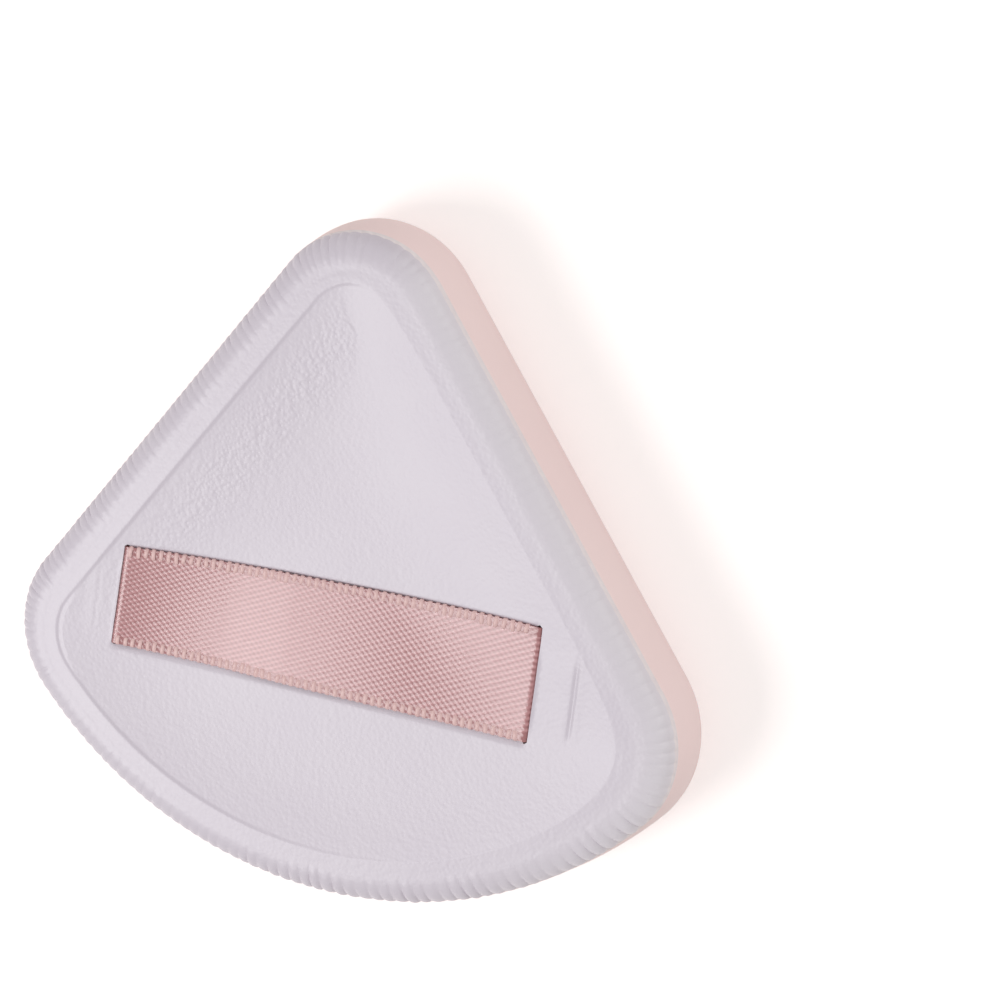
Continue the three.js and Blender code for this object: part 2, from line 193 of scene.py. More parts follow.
# The weft loops along both edges of the ribbon
LOOP_PITCH = 0.85
LOOP_REACH = 1.05
LOOP_HALF_WIDTH = 0.24
LOOP_HALF_THICK = 0.065
LOOP_TIP = 0.6  # share of its thickness that a loop has at its ends
LOOP_SIDES = 8
LOOP_SEED = 3
LOOP_SHIFT = 0.08  # how far a loop strays along the edge, as a share of the pitch
LOOP_SLANT = (-0.05, 0.2)
LOOP_SPREAD = (0.85, 1.1)  # shares by which the loops differ in reach
LOOP_WRAP = np.array([  # a loop's path: shares of its reach inward, and of half the ribbon's thickness up
    (1, 0.3), (0.85, 0.9), (0.5, 1.05), (0.2, 1), (0.0, 0.7), (-0.08, 0),
    (0.0, -0.7), (0.2, -0.9), (0.5, -0.95), (0.85, -0.85), (1, -0.3),
])
EDGE_SHADE_WIDTH = 0.95  # width of the plain-woven edge that the loops bind, painted darker as painted shade between the loops

# The pink front cover, and the sponge inside it
FACE_ROLL = 9.5
BULGE_HEIGHT = 5.3
WALL_BULGE = 0.6
FRONT_SKIN = 1.0
FRONT_POINTS = 480
INSIDE_POINTS = 240
FACE_POINTS = 16  # points of the profile round the edge of the face, and up the wall
WALL_POINTS = 10
CAP_INSET = 8  # how far in from the backing sheet's edge its flat caps start

# The overlock stitches along the turned-in edges
STITCH_PITCH = 1.6
THREAD_RADIUS = 0.13
THREAD_SHIFT = 0.1  # how far out the zigzag lies from the middle of its band

# The patterns of the materials
PEBBLE = 0.42  # width of a pebble of the leather's grain
GRAIN_CREASE = 1.1  # spacing of the uneven creases that run over them
GRAIN_DEPTH = 0.05
PLAIN_GRAIN = 0.8  # strength of the grain, and what the crinkles add to it
CRINKLE_GRAIN = 1.4
CORD_SPACING = 0.55  # spacing of the satin's diagonal cords, and their slope in degrees
CORD_SLOPE = 25.7
FLOAT_SPACING = 0.49  # spacing and slope of the floats that cross them
FLOAT_SLOPE = -41.8
FLOAT_SHARE = 0.38  # how much of the relief is the floats'
SATIN_DEPTH = 0.016
NAP = 0.25  # spacing and depth of the nap of the front cover
NAP_DEPTH = 0.05

# The studio
WORLD_LEVEL = 0.41  # light from all round
FLOOR_LIFT = 0.38  # how much brighter the floor is to the eye
FLOOR_HALF = 2.0  # half its width, in metres

# The camera that the photograph was taken with, fitted to the sewn edge
CAMERA_PLACE = (125.03, 89.76, 270.18)
CAMERA_TURN = (-13.713, 23.870, 5.011)
CAMERA_LENS = 106.64
CAMERA_SENSOR = 36


def box_mm(node):
    """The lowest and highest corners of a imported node, in millimetres."""
    low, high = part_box(node)
    return np.array(low) / MM, np.array(high) / MM


front_high = box_mm("front_cover")[1]
back_low, back_high = box_mm("back_cover")
ribbon_low, ribbon_high = box_mm("ribbon")
sheet_low, sheet_high = box_mm("backing_sheet")
foam_low, foam_high = box_mm("foam_core")
thread_low, thread_high = box_mm("overlock_thread")

seam_level = back_low[2]
band_level = back_high[2]
ribbon_y = (ribbon_low[1] + ribbon_high[1]) / 2
tail_level = ribbon_low[2] + RIBBON_THICK / 2
sheet_inset = SEAM_WIDTH / 2 - sheet_high[0]
thread_inset = SEAM_WIDTH / 2 - thread_high[0]

Slit = namedtuple("Slit", "x lean reach outward tail_end lift crease")
slits = (
    Slit(ribbon_low[0] + LEFT_TAIL + LEFT_SHIFT, LEFT_LEAN, LEFT_HALF + SLIT_SPARE, -1, ribbon_low[0],
         LEFT_LIFT, LEFT_CREASE),
    Slit(ribbon_high[0] - RIGHT_TAIL + RIGHT_SHIFT, RIGHT_LEAN, RIGHT_HALF + SLIT_SPARE, 1, ribbon_high[0],
         RIGHT_LIFT, RIGHT_CREASE),
)


def from_slit(slit, points):
    """How far points lie from the middle of a slit: outward towards its tail, and up along it."""
    up = points[:, 1] - ribbon_y
    return (points[:, 0] - slit.x - slit.lean * up) * slit.outward, up


def smooth(share):
    """Eases from 0 to 1 as a share goes from 0 to 1."""
    share = np.clip(share, 0, 1)
    return share * share * (3 - 2 * share)


def across_slit(out):
    """Eases from 0 at the inner side of a slit to 1 at its outer side."""
    return smooth(out / (2 * SLIT_HALF) + 0.5)


def strap_half(along):
    """Half the width of the strap at shares of the way from the left slit to the right one."""
    return LEFT_HALF + (RIGHT_HALF - LEFT_HALF) * along + SWELL * 4 * along * (1 - along)


def fold_x(slit, y):
    """Where the ribbon folds down through a slit, close to the slit's outer side."""
    aside = SLIT_HALF - RIBBON_THICK / 2 - FOLD_ROOM
    return slit.x + slit.outward * aside + slit.lean * (y - ribbon_y)


# The outline

def traced_seam():
    """The sewn edge as a fine closed line, anticlockwise from the right end of the apex arc.

    Gives the length passed at each point, the points, and their outward normals.
    """
    apex_y = SEAM_LENGTH / 2 - APEX_RADIUS
    base_y = BASE_RADIUS - SEAM_LENGTH / 2
    corner_x = SEAM_WIDTH / 2 - CORNER_RADIUS
    corner_y = base_y - math.sqrt((BASE_RADIUS - CORNER_RADIUS) ** 2 - corner_x ** 2)
    span = math.hypot(corner_x, apex_y - corner_y)
    side = math.atan2(corner_x, apex_y - corner_y) - math.asin((APEX_RADIUS - CORNER_RADIUS) / span)
    foot = math.atan2(corner_y - base_y, corner_x)
    arcs = (
        (0, apex_y, APEX_RADIUS, side, math.pi - side),
        (-corner_x, corner_y, CORNER_RADIUS, math.pi - side, math.pi - foot),
        (0, base_y, BASE_RADIUS, math.pi - foot, 2 * math.pi + foot),
        (corner_x, corner_y, CORNER_RADIUS, 2 * math.pi + foot, 2 * math.pi + side),
        (0, apex_y, APEX_RADIUS, side, side),
    )
    points = []
    normals = []
    for x, y, radius, first, last in arcs:
        angles = np.linspace(first, last, ARC_POINTS)
        normal = np.stack([np.cos(angles), np.sin(angles)], axis=1)
        normals.append(normal)
        points.append(np.array([x, y]) + radius * normal)
    points = np.concatenate(points)
    steps = np.linalg.norm(np.diff(points, axis=0), axis=1)
    return np.concatenate([[0], np.cumsum(steps)]), points, np.concatenate(normals)


seam_passed, seam_points, seam_normals = traced_seam()


def seam_at(shares):
    """Points of the sewn edge and their outward normals, at shares of the way round."""
    place = np.asarray(shares) * seam_passed[-1]
    point = [np.interp(place, seam_passed, seam_points[:, axis]) for axis in (0, 1)]
    normal = [np.interp(place, seam_passed, seam_normals[:, axis]) for axis in (0, 1)]
    return np.stack(point, axis=1), np.stack(normal, axis=1)


rim_points, rim_normals = seam_at(np.arange(SEAM_SAMPLES) / SEAM_SAMPLES)
rim_tree = KDTree(SEAM_SAMPLES)
for number, spot in enumerate(rim_points):
    rim_tree.insert((*spot, 0), number)
rim_tree.balance()


def inside_seam(points):
    """How far points lie inside the sewn edge, below zero outside it, and each one's way out to it."""
    nearest = [rim_tree.find((x, y, 0))[1] for x, y in points]
    normals = rim_normals[nearest]
    return np.sum((rim_points[nearest] - points) * normals, axis=1), normals


def facing(normals, way, start, run):
    """How nearly outward normals point a way: 0 up to a start, then easing to 1 over a run."""
    return smooth((normals @ np.array(way) - start) / run)


def fade(normals, zones):
    """How much of a feature is left at outward normals, by zones of (way out, start, share that is lost)."""
    left = np.ones(len(normals))
    for way, start, lost in zones:
        left *= 1 - lost * facing(normals, way, start, 1 - start)
    return left


# Meshes

def make_piece(name, points, faces, materials, paint=(), sharp=50):
    """A smooth-shaded mesh from points in millimetres. Edges that turn by more than sharp degrees stay hard.

    Paint gives (material number, faces' numbers) for faces that don't take the first material.
    """
    mesh = bpy.data.meshes.new(name)
    mesh.from_pydata((np.asarray(points) * MM).tolist(), [], faces)
    for material in materials:
        mesh.materials.append(material)
    for number, painted in paint:
        for face in painted:
            mesh.polygons[face].material_index = number
    mesh.polygons.foreach_set("use_smooth", [True] * len(mesh.polygons))
    mesh.set_sharp_from_angle(angle=math.radians(sharp))
    piece = bpy.data.objects.new(name, mesh)
    bpy.context.scene.collection.objects.link(piece)
    return piece


def places_mm(piece):
    """Where the points of a mesh lie, in millimetres."""
    places = np.zeros(len(piece.data.vertices) * 3, np.float32)
    piece.data.vertices.foreach_get("co", places)
    return places.reshape(-1, 3) / MM


def strip_faces(rings, count, first=0):
    """Quads between rings of equal counts of points, each ring closed on itself."""
    faces = []
    for ring in range(rings - 1):
        low = first + ring * count
        for i in range(count):
            j = (i + 1) % count
            faces.append((low + i, low + j, low + count + j, low + count + i))
    return faces


def closed_wrap(name, profile, count, materials):
    """A solid from a profile of (inset, level) wrapped round the sewn edge, with a flat cap on each end."""
    point, normal = seam_at(np.arange(count) / count)
    rings = []
    for inset, level in profile:
        rings.append(np.column_stack([point - normal * inset, np.full(count, level)]))
    faces = strip_faces(len(rings), count)
    last = (len(rings) - 1) * count
    faces.append(tuple(reversed(range(count))))
    faces.append(tuple(range(last, last + count)))
    return make_piece(name, np.concatenate(rings), faces, materials)


# The leather back

def gather_rows():
    """Where the points round the rim lie, how far each stands out, from -1 to 1, and how deep and long its
    gather is. The gathers differ a little, and each has a round crest between two narrow creases."""
    draw = random.Random(GATHER_SEED)
    pitch = GATHER_PITCH - LEFT_FINER * facing(rim_normals, *FINER_ZONE)
    pitch += CORNER_WIDER * facing(rim_normals, *WIDER_ZONE)
    passed = np.concatenate([[0], np.cumsum(1 / pitch)]) * seam_passed[-1] / SEAM_SAMPLES
    gathers = int(passed[-1])
    places = [k + draw.uniform(-GATHER_SHIFT, GATHER_SHIFT) for k in range(gathers)]
    starts = list(np.interp(np.array(places) % gathers * passed[-1] / gathers, passed,
                            np.arange(SEAM_SAMPLES + 1) / SEAM_SAMPLES))
    starts[0] -= round(starts[0])
    starts.append(starts[0] + 1)
    steps = np.arange(GATHER_POINTS) / GATHER_POINTS
    wave = 2 * np.sin(np.pi * steps) ** CREST_POWER - 1
    shares = []
    depths = []
    reaches = []
    for start, end in zip(starts, starts[1:]):
        shares.extend(start + (end - start) * steps)
        depths.extend([draw.uniform(*DEPTH_SPREAD)] * GATHER_POINTS)
        reaches.extend([draw.uniform(*REACH_SPREAD)] * GATHER_POINTS)
    shares = np.array(shares) % 1
    _, normal = seam_at(shares)
    deeper = 1 + CORNER_DEEPER * facing(normal, *DEEPER_ZONE)
    depths = GATHER_DEPTH * np.array(depths) * fade(normal, GATHER_FADES) * deeper
    return shares, np.tile(wave, gathers), depths, GATHER_REACH * np.array(reaches)


def roll_length(angle):
    """Length of leather from the seam up the roll to an angle."""
    angles = np.linspace(0, angle, ROLL_STEPS)
    inset = RIM_ROLL * (1 - np.cos(angles))
    level = (band_level - seam_level) * np.sin(angles)
    return float(np.hypot(np.diff(inset), np.diff(level)).sum())


def bowl_depth(points):
    """How deep the panel has sunk at points, from 0 at the band to 1 in its middle, with no crease between
    its three slopes."""
    side_x, side_y = seam_normals[-1]
    side = seam_points[-1] @ seam_normals[-1]
    x, y = points.T
    ways = (
        side - side_x * x - side_y * y,
        side + side_x * x - side_y * y,
        BASE_RADIUS - np.hypot(x, y - BASE_RADIUS + SEAM_LENGTH / 2),
    )
    near = -BOWL_BLEND * np.log(sum(np.exp(-way / BOWL_BLEND) for way in ways))
    return 1 - (1 - np.clip((near - BAND_EDGE) / DISH_RUN, 0, 1)) ** 2


def leather_level(points):
    """Height of the leather's face at points from the top of the roll inwards, before the ribbon marks it."""
    inset, normal = inside_seam(points)
    crisp = fade(normal, STEP_FADES)
    past = inset - BAND_EDGE
    step = crisp * smooth(past / STEP_RUN) + (1 - crisp) * smooth(past / SOFT_STEP)
    groove = crisp * np.exp(-((inset - GROOVE_INSET) / GROOVE_HALF) ** 2)
    return band_level - RIM_GROOVE * groove - PANEL_DROP * step - PANEL_DISH * bowl_depth(points)


def tail_marks(points):
    """How far the leather over the ribbon's hidden tails stands up, with a lip at each slit and a crease at
    the end of each tail."""
    marks = np.zeros(len(points))
    for slit in slits:
        out, up = from_slit(slit, points)
        past = out - abs(slit.tail_end - slit.x)
        over = across_slit(out) * (1 - smooth(past / TAIL_SLOPE))
        lip = np.clip(1 - (out - SLIT_HALF) / LIP_HALF, 0, 1) * (out > 0)
        crease = np.exp(-(past / CREASE_HALF) ** 2)
        beside = smooth((TAIL_REACH - np.abs(up - TAIL_MIDDLE)) / TAIL_FADE)
        marks += (slit.lift * over + SLIT_LIP * lip - slit.crease * crease) * beside
    return marks


def strap_dip(points):
    """How far the strap has pressed the leather down at points: all of it under the strap, less beside it."""
    along = np.clip((points[:, 0] - slits[0].x) / (slits[1].x - slits[0].x), 0, 1)
    up = points[:, 1] - ribbon_y
    beyond = np.abs(up) - strap_half(along) + DIP_TUCK
    dip = STRAP_DIP * (1 - smooth(beyond / np.where(up < 0, *DIP_FADES)))
    for slit in slits:
        dip *= 1 - across_slit(from_slit(slit, points)[0])
    return dip


def face_level(points):
    """Height of the leather's face at points on the band and the panel."""
    return leather_level(points) + tail_marks(points) - strap_dip(points)


def along_slit(slit, out, rows):
    """Points beside a slit, at a distance outward from its middle and at shares of its reach up it."""
    up = slit.reach * rows
    return np.column_stack([slit.x + slit.lean * up + slit.outward * out, ribbon_y + up])


slit_rows = np.linspace(-1, 1, SLIT_POINTS)
slit_halves = SLIT_HALF * np.sqrt(1 - SLIT_TAPER * slit_rows ** SLIT_POWER)


def slit_loop(slit):
    """The edge of a slit, anticlockwise: a long narrow opening with rounded corners."""
    half = slit_halves * slit.outward
    return np.concatenate([along_slit(slit, half, slit_rows), along_slit(slit, -half, slit_rows)[::-1]])


def fine_lines():
    """Close rows of points along the outer lip of each slit, the crease at the end of each tail, and the
    slopes beside the strap."""
    along = np.linspace(0, 1, STRAP_STEPS)
    strap_x = slits[0].x + (slits[1].x - slits[0].x) * along
    beside = []
    for side, slope in zip((-1, 1), DIP_FADES):
        for beyond in np.linspace(-DIP_TUCK, slope - DIP_TUCK, SLOPE_ROWS):
            beside.append(np.column_stack([strap_x, ribbon_y + side * (strap_half(along) + beyond)]))
    beside = np.concatenate(beside)
    for slit in slits:
        beside = beside[from_slit(slit, beside)[0] < -SLIT_HALF - SLOPE_ROOM]
    lines = [beside]
    for slit in slits:
        tail = abs(slit.tail_end - slit.x)
        for share in LIP_ROWS:
            lines.append(along_slit(slit, SLIT_HALF + LIP_HALF * share, slit_rows))
        for share in CREASE_ROWS:
            lines.append(along_slit(slit, tail + CREASE_HALF * share, slit_rows))
    return np.concatenate(lines)


def panel_mesh(rim, loops, grid):
    """Triangles that fill a rim, with the loops left open. The rim's points come first, then the loops'."""
    low = rim.min(axis=0)
    high = rim.max(axis=0)
    spots = []
    for k, y in enumerate(np.arange(low[1], high[1], grid * math.sqrt(3) / 2)):
        xs = np.arange(low[0] + grid / 2 * (k % 2), high[0], grid)
        spots.append(np.column_stack([xs, np.full(len(xs), y)]))
    spots = np.concatenate(spots)
    room = min(grid / 2, SLIT_ROOM)
    for slit in slits:
        out, up = from_slit(slit, spots)
        spots = spots[(np.abs(out) > SLIT_HALF + room) | (np.abs(up) > slit.reach + room)]
    if grid == PANEL_GRID:
        spots = np.concatenate([spots, fine_lines()])
    spots = spots[inside_seam(spots)[0] > PANEL_START + RIM_ROOM]
    edges = []
    start = 0
    for loop in (rim, *loops):
        count = len(loop)
        edges.extend((start + i, start + (i + 1) % count) for i in range(count))
        start += count
    points = np.concatenate([rim, *loops, spots])
    inside_only = 1
    made = delaunay_2d_cdt([Vector(point) for point in points], edges, [], inside_only, 1e-6)
    flat = np.array([tuple(point) for point in made[0]])
    faces = np.array(made[2])
    for slit in slits:
        out, up = from_slit(slit, flat[faces].mean(axis=1))
        faces = faces[np.abs(out) > np.interp(up / slit.reach, slit_rows, slit_halves, 0, 0)]
    return flat, faces


def rim_rings():
    """Rings of points round the rim: from the panel's edge out over the gathered roll, round the fold at the
    seam, and back in along the hidden side.

    Gives them, the number of the ring where the fold's painted highlight starts, and the panel's edge laid
    flat.
    """
    shares, wave, depths, reaches = gather_rows()
    point, normal = seam_at(shares)
    rise = band_level - seam_level
    rings = []

    def add_ring(inset, level, lean, passed):
        strength = SEAM_SHARE + (1 - SEAM_SHARE) * smooth(passed / GATHER_START)
        strength = strength * (1 - smooth((passed / reaches - GATHER_FULL) / (1 - GATHER_FULL)))
        push = wave * depths / 2 * strength
        flat = point + normal * (push * math.cos(lean) - inset)[:, None]
        rings.append(np.column_stack([flat, level + push * math.sin(lean)]))

    for inset in RIM_INSETS:
        level = face_level(point - normal * inset)
        add_ring(inset, level, math.pi / 2, roll_length(math.pi / 2) + inset - RIM_ROLL)
    for degrees in ROLL_DEGREES:
        angle = math.radians(degrees)
        lean = math.atan2(math.sin(angle) * RIM_ROLL, math.cos(angle) * rise)
        inset = RIM_ROLL * (1 - math.cos(angle))
        add_ring(inset, seam_level + rise * math.sin(angle), lean, roll_length(angle))
    fold_ring = len(rings) - HIGHLIGHT_RINGS
    hidden = (
        (ALLOWANCE, 0),
        (ALLOWANCE, LEATHER),
        (LEATHER, LEATHER),
        INNER_ROLL,
        (RIM_ROLL, rise - LEATHER),
        (BAND_EDGE, rise - LEATHER),
    )
    for inset, level in (*FOLD_PROFILE, *hidden):
        rings.append(np.column_stack([point - normal * inset, np.full(len(point), seam_level + level)]))
    panel_edge = point - normal * PANEL_START
    rings.append(np.column_stack([panel_edge, rings[0][:, 2] - LEATHER]))
    return rings, fold_ring, panel_edge


def mark_leather(back, flat):
    """Stores where the right side of the rim is painted paler, as painted light on its shaded roll, and where
    the coat is crinkled, for the shader to use.

    Flat gives the x and y of each point in millimetres.
    """
    inset, way_out = inside_seam(flat)
    # Painted light: the rim is painted paler where it faces right, most near the seam, to lift the shade on
    # its roll.
    rim_light_share = smooth((way_out[:, 0] - RIM_LIGHT_START) / (1 - RIM_LIGHT_START))
    rim_light_share *= smooth((BAND_EDGE - inset) / BAND_EDGE)
    crinkled = smooth((CRINKLE_WIDTH - np.abs(inset - BAND_EDGE - CRINKLE_WIDTH)) / CRINKLE_WIDTH)
    crinkled *= facing(way_out, *CRINKLE_ZONE) * smooth((flat[:, 1] - CRINKLE_FOOT) / CRINKLE_RISE)
    for name, values in (("painted_rim_light", rim_light_share), ("crinkle", crinkled)):
        attribute = back.data.attributes.new(name, "FLOAT", "POINT")
        attribute.data.foreach_set("value", values.astype(np.float32))


def leather_back(materials):
    """Leather of one thickness: the dished panel, the band, the gathered roll and the turned-in edge."""
    rings, fold_ring, panel_edge = rim_rings()
    count = len(panel_edge)
    points = list(np.concatenate(rings))
    faces = strip_faces(len(rings), count)
    # Painted highlight: these strips at the foot of the roll and round the fold take the paler material.
    fold = range(fold_ring * count, (fold_ring + FOLD_STRIPS) * count)

    loops = [slit_loop(slit) for slit in slits]
    starts = []
    for grid, ring, offset in ((PANEL_GRID, 0, 0), (LINING_GRID, len(rings) - 1, -LEATHER)):
        flat, triangles = panel_mesh(panel_edge, loops, grid)
        start = len(points)
        points.extend(np.column_stack([flat[count:], face_level(flat[count:]) + offset]))
        index = np.concatenate([np.arange(count) + ring * count, np.arange(len(flat) - count) + start])
        triangles = index[triangles]
        faces.extend(map(tuple, triangles if offset == 0 else triangles[:, ::-1]))
        starts.append(start)
    cut_first = len(faces)
    first = 0
    for loop in loops:
        size = len(loop)
        top, bottom = (start + first for start in starts)
        for i in range(size):
            j = (i + 1) % size
            faces.append((top + i, bottom + i, bottom + j, top + j))
        first += size
    cut = range(cut_first, len(faces))
    back = make_piece("leather_back", points, faces, materials, paint=((1, fold), (2, cut)))
    mark_leather(back, np.array(points)[:, :2])
    return back


# The ribbon

def ribbon_lines(shares):
    """The middle lines of the ribbon, one for each share of its width from its lower to its upper edge.

    Each runs from the left tail up through a slit, over the panel and down the other slit to the right tail.
    """
    quarter = np.linspace(0, np.pi / 2, BEND_POINTS)
    along = np.linspace(0, 1, STRAP_STEPS)
    rise = LEFT_RISE * (1 - np.clip(along / RISE_END, 0, 1)) ** 2
    hump = smooth((along - RISE_END) / (HUMP_TOP - RISE_END))
    hump *= 1 - smooth((along - HUMP_TOP) / (1 - HUMP_TOP))
    bow = rise + STRAP_HUMP * hump
    lines = []
    for share in shares:
        strap_y = ribbon_y + (2 * share - 1) * strap_half(along)
        folds = [fold_x(slit, y) for slit, y in zip(slits, strap_y[[0, -1]])]
        strap_x = np.linspace(folds[0] + RIBBON_BEND, folds[1] - RIBBON_BEND, STRAP_STEPS)
        leather_z = leather_level(np.column_stack([strap_x, strap_y]))
        strap_z = leather_z - STRAP_DIP + RIBBON_LIE + bow * (1 - UPPER_LIE * share ** 2) + RIBBON_THICK / 2
        ends = []
        for slit, fold, y, level in zip(slits, folds, strap_y[[0, -1]], strap_z[[0, -1]]):
            tail_x = np.linspace(slit.tail_end, fold + slit.outward * RIBBON_BEND, TAIL_POINTS)[:-1]
            lower_x = fold + slit.outward * RIBBON_BEND * (1 - np.sin(quarter))
            lower_z = tail_level + RIBBON_BEND * (1 - np.cos(quarter))
            upper_x = fold - slit.outward * RIBBON_BEND * (1 - np.cos(quarter))
            upper_z = level - RIBBON_BEND * (1 - np.sin(quarter))
            x = np.concatenate([tail_x, lower_x, upper_x[:-1]])
            z = np.concatenate([np.full(len(tail_x), tail_level), lower_z, upper_z[:-1]])
            ends.append(np.column_stack([x, np.full(len(x), y), z]))
        strap = np.column_stack([strap_x, strap_y, strap_z])
        lines.append(np.concatenate([ends[0], strap, ends[1][::-1]]))
    return np.array(lines)


def ribbon_strip(materials):
    """A closed strip of one thickness over the ribbon's middle lines, with its weave laid along it."""
    shares = np.linspace(0, 1, RIBBON_ROWS)
    lines = ribbon_lines(shares)
    along = np.gradient(lines, axis=1)
    out = np.stack([-along[:, :, 2], np.zeros(along.shape[:2]), along[:, :, 0]], axis=2)
    out /= np.linalg.norm(out, axis=2, keepdims=True)
    rows, steps = lines.shape[:2]
    under = rows * steps
    points = np.concatenate([
        (lines + out * RIBBON_THICK / 2).reshape(-1, 3),
        (lines - out * RIBBON_THICK / 2).reshape(-1, 3),
    ])
    faces = []
    for row in range(rows - 1):
        for step in range(steps - 1):
            a = row * steps + step
            b = a + steps
            faces.append((a, a + 1, b + 1, b))
            faces.append((under + b, under + b + 1, under + a + 1, under + a))
    for step in range(steps - 1):
        last = (rows - 1) * steps + step
        faces.append((step, under + step, under + step + 1, step + 1))
        faces.append((last + 1, under + last + 1, under + last, last))
    for row in range(rows - 1):
        a = row * steps
        b = a + steps
        end = steps - 1
        faces.append((b, under + b, under + a, a))
        faces.append((a + end, under + a + end, under + b + end, b + end))
    strip = make_piece("ribbon_strap", points, faces, materials)
    middle = lines[rows // 2]
    passed = np.concatenate([[0], np.cumsum(np.linalg.norm(np.diff(middle, axis=0), axis=1))])
    flat = np.stack(np.meshgrid(passed, shares * RIBBON_WIDTH), axis=2).reshape(-1, 2) * MM
    flat = np.concatenate([flat, flat])
    corners = np.zeros(len(strip.data.loops), int)
    strip.data.loops.foreach_get("vertex_index", corners)
    weave = strip.data.uv_layers.new(name="weave")
    weave.data.foreach_set("uv", flat[corners].ravel())
    return strip


def edge_loops(materials):
    """The weft loops that bind the ribbon's edges: each wraps from the face round the edge to the back."""
    draw = random.Random(LOOP_SEED)
    inwards, upwards = LOOP_WRAP.T
    sides = np.linspace(0, 2 * np.pi, LOOP_SIDES, endpoint=False)
    points = []
    faces = []
    for edge, inward in zip(ribbon_lines([0, 1]), (1, -1)):
        first = fold_x(slits[0], edge[0, 1]) + RIBBON_BEND
        last = fold_x(slits[1], edge[-1, 1]) - RIBBON_BEND
        for k in range(int((last - first) / LOOP_PITCH)):
            x = first + (k + 0.5 + draw.uniform(-LOOP_SHIFT, LOOP_SHIFT)) * LOOP_PITCH
            y = np.interp(x, edge[:, 0], edge[:, 1])
            z = np.interp(x, edge[:, 0], edge[:, 2])
            slant = draw.uniform(*LOOP_SLANT) * inward
            reach = LOOP_REACH * draw.uniform(*LOOP_SPREAD)
            path = np.column_stack([
                x + slant * inwards,
                y + inward * inwards * reach,
                z + upwards * RIBBON_THICK / 2,
            ])
            heading = np.gradient(path[:, 1:], axis=0)
            heading /= np.linalg.norm(heading, axis=1, keepdims=True)
            start = len(points)
            for number, (spot, (dy, dz)) in enumerate(zip(path, heading)):
                size = LOOP_TIP if number in (0, len(path) - 1) else 1
                for angle in sides:
                    width = LOOP_HALF_WIDTH * size * math.cos(angle)
                    lift = LOOP_HALF_THICK * size * math.sin(angle)
                    points.append(spot + [width, -dz * lift, dy * lift])
            ring_faces = strip_faces(len(path), LOOP_SIDES, start)
            tip = start + (len(path) - 1) * LOOP_SIDES
            ring_faces.append(tuple(reversed(range(start, start + LOOP_SIDES))))
            ring_faces.append(tuple(range(tip, tip + LOOP_SIDES)))
            faces.extend(ring_faces)
    return make_piece("ribbon_edge_loops", points, faces, materials, sharp=80)


def bow_weights(piece):
    """Bakes a piece's placing into its mesh, and reckons each point's share of the way from the left slit to
    the right one; nothing uses it.
    """
    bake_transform(piece)
    share = np.clip((places_mm(piece)[:, 0] - slits[0].x) / (slits[1].x - slits[0].x), 0, 1)


def press_weights(piece):
    """Bakes a piece's placing into its mesh, and reckons each point's height as a share of the sponge's top;
    nothing uses it."""
    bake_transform(piece)
    np.clip(places_mm(piece)[:, 2] / foam_high[2], 0, 1)


# The front cover and what is inside

def bag_profile(depth, top):
    """The front cover's (inset, level) at a depth under its surface, from its flat face up to a level."""
    width = FACE_ROLL + WALL_BULGE
    rows = []
    for angle in np.linspace(0, math.pi / 2, FACE_POINTS):
        lean = math.atan2(BULGE_HEIGHT * math.sin(angle), width * math.cos(angle))
        inset = FACE_ROLL - width * math.sin(angle) + depth * math.sin(lean)
        rows.append((inset, BULGE_HEIGHT * (1 - math.cos(angle)) + depth * math.cos(lean)))
    for level in np.linspace(BULGE_HEIGHT, top, WALL_POINTS)[1:]:
        share = (level - BULGE_HEIGHT) / (front_high[2] - BULGE_HEIGHT)
        rows.append((depth - WALL_BULGE * math.cos(share * math.pi / 2), level))
    return rows


def front_cover(materials):
    """One soft skin for the contact face, the wall and the turned-in edge."""
    top = front_high[2]
    inside = bag_profile(FRONT_SKIN, top - FRONT_SKIN)[::-1]
    profile = [*bag_profile(0, top), (ALLOWANCE, top), (ALLOWANCE, top - FRONT_SKIN), *inside]
    return closed_wrap("soft_front_cover", profile, FRONT_POINTS, materials)


def sponge_pad(materials):
    return closed_wrap("sponge_pad", bag_profile(foam_low[2], foam_high[2]), INSIDE_POINTS, materials)


def lining_sheet(materials):
    """The thin sheet that the ribbon's tails are stuck to."""
    low = sheet_low[2]
    high = sheet_high[2]
    cap = sheet_inset + CAP_INSET
    profile = ((cap, low), (sheet_inset, low), (sheet_inset, high), (cap, high))
    return closed_wrap("nonwoven_backing", profile, INSIDE_POINTS, materials)


def overlock_stitches(materials):
    """A zigzag of thread over the raw edges of both covers."""
    count = int(seam_passed[-1] / STITCH_PITCH)
    inset = (thread_inset + sheet_inset) / 2 - THREAD_SHIFT
    levels = (thread_low[2] + THREAD_RADIUS, thread_high[2] - THREAD_RADIUS)
    line = bpy.data.curves.new("overlock_stitches", "CURVE")
    line.dimensions = "3D"
    line.bevel_depth = THREAD_RADIUS * MM
    line.bevel_resolution = 2
    spline = line.splines.new("POLY")
    spline.points.add(2 * count - 1)
    spline.use_cyclic_u = True
    point, normal = seam_at(np.arange(2 * count) / (2 * count))
    for number, (x, y) in enumerate(point - normal * inset):
        spline.points[number].co = (x * MM, y * MM, levels[number % 2] * MM, 1)
    line.materials.append(materials[0])
    stitches = bpy.data.objects.new("overlock_stitches", line)
    bpy.context.scene.collection.objects.link(stitches)
    return stitches


# Materials

def linear(code):
    """An sRGB hex colour as linear RGBA."""
    parts = [int(code[i:i + 2], 16) / 255 for i in (1, 3, 5)]
    return (*[p / 12.92 if p <= 0.04045 else ((p + 0.055) / 1.055) ** 2.4 for p in parts], 1)


